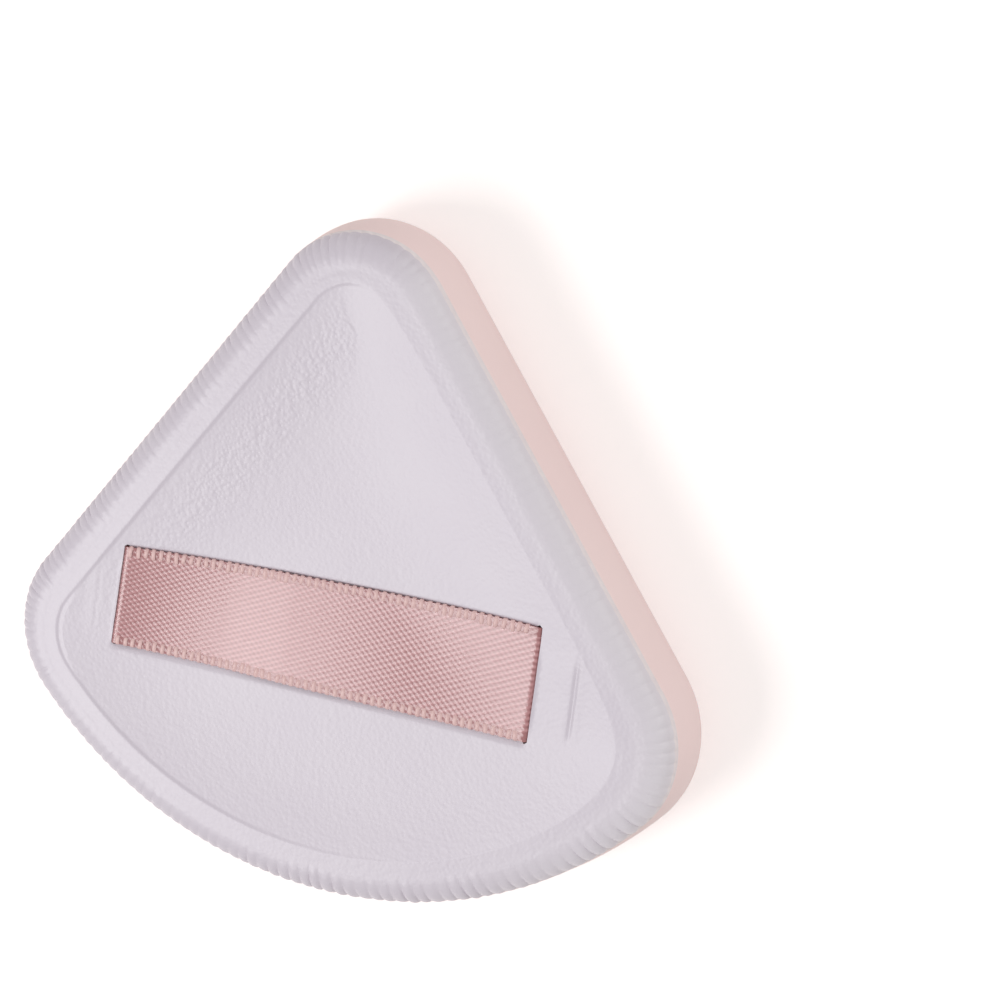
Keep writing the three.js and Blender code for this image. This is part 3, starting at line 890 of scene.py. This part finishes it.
def add(tree, kind, inputs=(), **settings):
    """Adds one shader node. Inputs maps a socket's name or number to a value, or to another node's socket."""
    made = tree.nodes.new(kind)
    for name, value in settings.items():
        setattr(made, name, value)
    for key, value in dict(inputs).items():
        if isinstance(value, bpy.types.NodeSocket):
            tree.links.new(value, made.inputs[key])
        else:
            made.inputs[key].default_value = value
    return made


def new_material(name):
    """A material, its node tree and its shader."""
    material = bpy.data.materials.new(name)
    material.use_nodes = True
    tree = material.node_tree
    return material, tree, tree.nodes["Principled BSDF"]


def per_metre(size_mm):
    """The scale of a pattern whose repeat is a size in millimetres."""
    return 1 / (size_mm * MM)


def reckon(tree, operation, *values):
    """The result of an operation on numbers and sockets."""
    return add(tree, "ShaderNodeMath", enumerate(values), operation=operation).outputs["Value"]


def mix_colours(tree, share, first, second):
    """A mix of two colours, each a value or a socket."""
    mixed = add(tree, "ShaderNodeMix", {"Factor": share, 6: first, 7: second}, data_type="RGBA")
    return mixed.outputs[2]


def noise(tree, place, size, detail):
    """Cloudy noise whose largest clouds are a size in millimetres."""
    cloud = add(tree, "ShaderNodeTexNoise", {"Vector": place, "Scale": per_metre(size), "Detail": detail})
    return cloud.outputs["Fac"]


def uneven_tint(tree, size, detail, dark, light):
    """Noise over the object, and the two tones that it mixes. Gives the places, the noise and the colour."""
    place = add(tree, "ShaderNodeTexCoord").outputs["Object"]
    cloud = noise(tree, place, size, detail)
    return place, cloud, mix_colours(tree, cloud, linear(dark), linear(light))


def put_bump(tree, shader, height, depth, strength=1):
    """Roughens a surface by a height from 0 to 1, which stands for a depth in millimetres."""
    bump = add(tree, "ShaderNodeBump", {"Height": height, "Strength": strength, "Distance": depth * MM})
    tree.links.new(bump.outputs["Normal"], shader.inputs["Normal"])


def embossed_leather():
    """Polyurethane-coated leather, embossed: a soft satin coat over a fine pebble grain, painted paler on the
    right side of the rim as painted light on its shaded roll."""
    material, tree, shader = new_material("embossed_pu_leather")
    place, _, tint = uneven_tint(tree, 9, 2, "#D2C9D3", "#D7CFD7")
    painted_rim_light = add(tree, "ShaderNodeAttribute", attribute_name="painted_rim_light").outputs["Fac"]
    # Painted light: paler towards the seam on the right side of the rim.
    tint = mix_colours(tree, painted_rim_light, tint, linear("#E6E0E5"))
    tree.links.new(tint, shader.inputs["Base Color"])
    pebble = add(tree, "ShaderNodeTexVoronoi", {
        "Vector": place, "Scale": per_metre(PEBBLE),
    }, feature="SMOOTH_F1")
    grain = reckon(tree, "ADD", pebble.outputs["Distance"], noise(tree, place, GRAIN_CREASE, 3))
    crinkle = add(tree, "ShaderNodeAttribute", attribute_name="crinkle").outputs["Fac"]
    depth = reckon(tree, "MULTIPLY_ADD", crinkle, CRINKLE_GRAIN, PLAIN_GRAIN)
    put_bump(tree, shader, reckon(tree, "MULTIPLY", grain, depth), GRAIN_DEPTH, strength=0.5)
    shader.inputs["Roughness"].default_value = 0.38
    shader.inputs["IOR"].default_value = 1.5
    return material


def soft_skin():
    """Wet-process microfibre skin: matte, with a nap too fine to show as single fibres."""
    material, tree, shader = new_material("matte_microfibre_skin")
    place, _, tint = uneven_tint(tree, 14, 3, "#F8DFDD", "#FBE5E2")
    tree.links.new(tint, shader.inputs["Base Color"])
    put_bump(tree, shader, noise(tree, place, NAP, 4), NAP_DEPTH, strength=0.25)
    shader.inputs["Roughness"].default_value = 0.85
    shader.inputs["Sheen Weight"].default_value = 0.2
    return material


def weave_rows(tree, place, spacing, degrees):
    """A wave from 0 to 1, its rows a spacing apart in millimetres, at an angle to the ribbon's length."""
    turn = 2 * math.pi * per_metre(spacing)
    slope = math.radians(degrees)
    across = (-math.sin(slope) * turn, math.cos(slope) * turn, 0)
    phase = add(tree, "ShaderNodeVectorMath", {0: place, 1: across}, operation="DOT_PRODUCT")
    wave = reckon(tree, "SINE", phase.outputs["Value"])
    return reckon(tree, "MULTIPLY_ADD", wave, 0.5, 0.5)


def satin_weave():
    """Polyester satin ribbon: glossy warp floats lie in diagonal cords, so it shines in bands across its
    length."""
    material, tree, shader = new_material("woven_polyester_satin")
    place = add(tree, "ShaderNodeTexCoord").outputs["UV"]
    cords = weave_rows(tree, place, CORD_SPACING, CORD_SLOPE)
    floats = weave_rows(tree, place, FLOAT_SPACING, FLOAT_SLOPE)
    lift = add(tree, "ShaderNodeMix", {"Factor": FLOAT_SHARE, 2: cords, 3: floats}).outputs[0]
    # Painted shade and sheen: the tint follows the weave's relief, darker in the gaps between the cords and
    # paler on them.
    tint = mix_colours(tree, lift, linear("#9E6869"), linear("#C99395"))
    across = add(tree, "ShaderNodeSeparateXYZ", {0: place}).outputs["Y"]
    half = RIBBON_WIDTH / 2
    # Painted shade: a darker band along each edge, under the loops, stands in for the shade between them.
    between_edges = reckon(tree, "COMPARE", across, half * MM, (half - EDGE_SHADE_WIDTH) * MM)
    tint = mix_colours(tree, between_edges, linear("#A66E6F"), tint)
    tree.links.new(tint, shader.inputs["Base Color"])
    put_bump(tree, shader, lift, SATIN_DEPTH)
    warp = add(tree, "ShaderNodeTangent", direction_type="UV_MAP", uv_map="weave")
    tree.links.new(warp.outputs["Tangent"], shader.inputs["Tangent"])
    shader.inputs["Roughness"].default_value = 0.22
    shader.inputs["IOR"].default_value = 1.57
    shader.inputs["Anisotropic"].default_value = 0.75
    shader.inputs["Anisotropic Rotation"].default_value = 0.25
    return material


def matte(name, dark, light, size, roughness, depth=0, detail=4):
    """A dull uneven material: its two tones, the size of its grain in millimetres, and the grain's depth."""
    material, tree, shader = new_material(name)
    _, cloud, tint = uneven_tint(tree, size, detail, dark, light)
    tree.links.new(tint, shader.inputs["Base Color"])
    if depth:
        put_bump(tree, shader, cloud, depth)
    shader.inputs["Roughness"].default_value = roughness
    return material


def fold_highlight():
    """The stretched fold of the coated leather along the seam: duller, and painted paler as a painted
    highlight along the seam.
    """
    return matte("painted_highlight_fold", "#E6DCDF", "#F3EBEA", 1.2, 0.6, detail=3)


def cut_edge():
    """The cut edge of the coated leather: dull and white, as its knitted backing shows."""
    return matte("knit_backing_cut_edge", "#DDD5DA", "#F0EAEC", 0.2, 0.9, detail=3)


def looped_weft():
    """Weft yarn in tight loops: paler than the satin, with a soft sheen along each loop."""
    return matte("looped_satin_weft", "#D6ABA9", "#E9C9C5", 0.3, 0.42, 0.02)


def open_sponge():
    """Foamed open-cell sponge: dull and creamy, with fine pores."""
    return matte("open_cell_sponge", "#EAD9CC", "#F7ECE2", 0.5, 0.95, 0.2)


def bonded_fibres():
    """Spunbond sheet: dull white, with a faint mottle of fibres."""
    return matte("spunbond_nonwoven", "#E6E4E0", "#F6F5F2", 0.4, 0.9, 0.05)


def spun_thread():
    """Spun polyester thread: dull, with a fine uneven twist."""
    return matte("spun_polyester_thread", "#DCD3DC", "#EDE6ED", 0.15, 0.7, 0.03)


def sticky_tape():
    """Coated acrylic tape: smooth and half glossy, a little yellow."""
    return matte("acrylic_adhesive_tape", "#E9E6DA", "#F4F1E6", 0.8, 0.45, 0.02)


def seen_share(tree, *kinds):
    """1 for the kinds of rays that end in the picture, and 0 for light that falls on other things."""
    rays = add(tree, "ShaderNodeLightPath").outputs
    share = rays[kinds[0]]
    for kind in kinds[1:]:
        share = reckon(tree, "MAXIMUM", share, rays[kind])
    return share


def white_floor():
    """Matte white paper, a little brighter to the eye, so that it reads as white and keeps its shadow."""
    material, tree, shader = new_material("matte_white_paper")
    shader.inputs["Base Color"].default_value = linear("#F4ECE9")
    shader.inputs["Roughness"].default_value = 1
    seen = seen_share(tree, "Is Camera Ray", "Is Glossy Ray")
    shader.inputs["Emission Color"].default_value = (1, 1, 1, 1)
    tree.links.new(reckon(tree, "MULTIPLY", seen, FLOOR_LIFT), shader.inputs["Emission Strength"])
    return material


# Staging

def make_floor():
    mesh = bpy.data.meshes.new("floor")
    corners = ((-1, -1), (1, -1), (1, 1), (-1, 1))
    mesh.from_pydata([(x * FLOOR_HALF, y * FLOOR_HALF, 0) for x, y in corners], [], [(0, 1, 2, 3)])
    mesh.materials.append(white_floor())
    floor = bpy.data.objects.new("floor", mesh)
    bpy.context.scene.collection.objects.link(floor)


def make_softbox(name, place, size, power):
    """A rectangular lamp that faces the puff. Its size is (along Y, across)."""
    lamp = bpy.data.lights.new(name, "AREA")
    lamp.shape = "RECTANGLE"
    lamp.size, lamp.size_y = size
    lamp.energy = power
    holder = bpy.data.objects.new(name, lamp)
    holder.location = place
    back = Vector(place).normalized()
    side = (Vector((0, 1, 0)) - back * back.y).normalized()
    holder.rotation_euler = Matrix((side, back.cross(side), back)).transposed().to_euler()
    bpy.context.scene.collection.objects.link(holder)


def make_world():
    """Even light from all round, and white where it is seen."""
    world = bpy.data.worlds.new("studio")
    world.use_nodes = True
    tree = world.node_tree
    seen = seen_share(tree, "Is Camera Ray", "Is Glossy Ray", "Is Transmission Ray")
    strength = add(tree, "ShaderNodeMix", {"Factor": seen, 2: WORLD_LEVEL, 3: 1.0})
    background = tree.nodes["Background"]
    background.inputs["Color"].default_value = (1, 1, 1, 1)
    tree.links.new(strength.outputs[0], background.inputs["Strength"])
    bpy.context.scene.world = world


def make_camera():
    lens = bpy.data.cameras.new("camera")
    lens.lens = CAMERA_LENS
    lens.sensor_width = CAMERA_SENSOR
    camera = bpy.data.objects.new("camera", lens)
    camera.location = Vector(CAMERA_PLACE) * MM
    camera.rotation_euler = [math.radians(turn) for turn in CAMERA_TURN]
    bpy.context.scene.collection.objects.link(camera)
    bpy.context.scene.camera = camera


make_camera()
make_floor()
make_world()
make_softbox("key_softbox", place=(-0.325, -0.2, 0.48), size=(0.28, 0.26), power=1.7)
make_softbox("side_fill", place=(0.38, 0.28, 0.28), size=(0.5, 0.3), power=0.85)
bpy.context.scene.view_settings.view_transform = "Standard"

leather = leather_back([embossed_leather(), fold_highlight(), cut_edge()])
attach(leather, "back")
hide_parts("back_cover")

strap = ribbon_strip([satin_weave()])
loops = edge_loops([looped_weft()])
bow_weights(strap)
bow_weights(loops)
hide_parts("ribbon")

front = front_cover([soft_skin()])
press_weights(front)
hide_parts("front_cover")

pad = sponge_pad([open_sponge()])
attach(pad, "pad")
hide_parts("foam_core")
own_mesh(pad)

lining = lining_sheet([bonded_fibres()])
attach(lining, "back")
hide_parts("backing_sheet")

stitches = overlock_stitches([spun_thread()])
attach(stitches, "back")
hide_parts("overlock_thread")

tape = sticky_tape()
for name in ("tail_tape_left", "tail_tape_right"):
    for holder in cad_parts[name].material_slots:
        holder.material = tape
